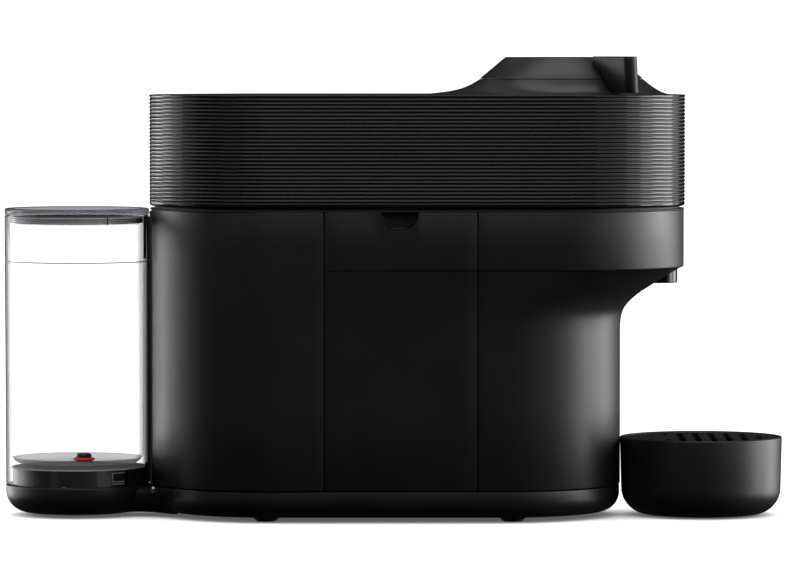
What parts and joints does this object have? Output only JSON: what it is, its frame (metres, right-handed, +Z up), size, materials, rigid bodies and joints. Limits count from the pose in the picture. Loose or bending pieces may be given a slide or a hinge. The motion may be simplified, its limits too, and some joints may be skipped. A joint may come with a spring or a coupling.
{
  "type": "pod coffee machine",
  "caption": "Slim single-serve pod coffee machine with a ribbed swing-up head, turning lock lever, side pod bin, clear rear tank and round drip tray.",
  "frame": {"origin": "on the table, at the middle of the footprint", "axes": "+X to the front (cup side), +Z up, +Y to the side away from the pod bin"},
  "size_m": [0.4272, 0.136, 0.2525],
  "materials": {
    "satin_black": "satin, fine texture",
    "inner_black": "matte",
    "gloss_black": "gloss",
    "rubber_black": "matte",
    "tank_clear": "clear polished",
    "lid_smoke": "smoked clear",
    "seal_red": "matte",
    "steel": "plain",
    "aluminium": "cast",
    "board_green": "solder mask",
    "light_white": "frosted"
  },
  "bodies": {
    "root": {"base_pan": "satin_black", "base_screw_1": "steel", "base_screw_2": "steel", "base_screw_3": "steel", "base_screw_4": "steel", "rear_foot_near": "rubber_black", "rear_foot_far": "rubber_black", "front_foot_near": "rubber_black", "front_foot_far": "rubber_black", "cord_gland": "rubber_black", "rear_housing": "satin_black", "front_housing": "satin_black", "far_panel": "satin_black", "top_deck": "inner_black", "brew_chamber": "inner_black", "drum_bearing": "steel", "spin_motor": "steel", "outlet_duct": "inner_black", "coffee_nozzle": "gloss_black", "flow_meter": "inner_black", "pump": "inner_black", "heater": "aluminium", "control_board": "board_green", "feed_hose": "rubber_black", "pump_hose": "rubber_black", "tank_base": "satin_black", "tank_base_plate": "inner_black", "tank_nipple": "inner_black", "hinge_arm_near": "steel", "hinge_arm_far": "steel", "hinge_pin": "steel"},
    "head": {"head_band": "satin_black", "head_top": "satin_black", "head_frame": "inner_black", "neck_ring": "inner_black", "rotor_cover": "inner_black", "rotor_bearing": "steel", "chamber_seal": "rubber_black", "water_injector": "inner_black"},
    "lever": {"lever_cap": "satin_black", "lock_ring": "aluminium", "button_light_ring": "light_white", "button_spring": "steel", "brew_switch": "inner_black"},
    "button": {"brew_button": "satin_black"},
    "drum": {"capsule_drum": "inner_black"},
    "piercer": {"pierce_rotor": "steel"},
    "bin": {"bin_panel": "satin_black", "bin_bucket": "inner_black"},
    "tray": {"drip_tray": "satin_black"},
    "grid": {"drip_grid": "satin_black"},
    "tank": {"tank_shell": "tank_clear", "valve_spring": "steel"},
    "valve": {"tank_valve": "inner_black", "valve_seal": "seal_red"},
    "lid": {"tank_lid": "lid_smoke", "lid_seal": "rubber_black"}
  },
  "joints": [
    {"name": "head_hinge", "type": "hinge", "parent": "root", "child": "head", "pos_m": [-0.118, 0, 0.205], "axis": [0, -1, 0], "range_deg": [0, 50]},
    {"name": "lever_turn", "type": "hinge", "parent": "head", "child": "lever", "pos_m": [0.0925, 0, 0.246], "axis": [0, 0, 1], "range_deg": [0, 60]},
    {"name": "button_press", "type": "slide", "parent": "lever", "child": "button", "axis": [0, 0, -1], "range_m": [0, 0.0018], "stiffness_N_per_m": 900},
    {"name": "drum_spin", "type": "hinge", "parent": "root", "child": "drum", "pos_m": [0.0925, 0, 0.14], "axis": [0, 0, 1], "continuous": true},
    {"name": "piercer_spin", "type": "hinge", "parent": "head", "child": "piercer", "pos_m": [0.0925, 0, 0.174], "axis": [0, 0, 1], "continuous": true},
    {"name": "bin_pull", "type": "slide", "parent": "root", "child": "bin", "axis": [0, -1, 0], "range_m": [0, 0.11]},
    {"name": "tray_pull", "type": "slide", "parent": "root", "child": "tray", "axis": [1, 0, 0], "range_m": [0, 0.06]},
    {"name": "grid_lift", "type": "slide", "parent": "tray", "child": "grid", "axis": [0, 0, 1], "range_m": [0, 0.02]},
    {"name": "tank_lift", "type": "slide", "parent": "root", "child": "tank", "axis": [0, 0, 1], "range_m": [0, 0.016]},
    {"name": "lid_lift", "type": "slide", "parent": "tank", "child": "lid", "axis": [0, 0, 1], "range_m": [0, 0.007]},
    {"name": "valve_lift", "type": "slide", "parent": "tank", "child": "valve", "axis": [0, 0, 1], "range_m": [0, 0.002], "stiffness_N_per_m": 120}
  ],
  "couplings": [
    {"joint": "piercer_spin", "follows": "drum_spin", "ratio": 1}
  ]
}
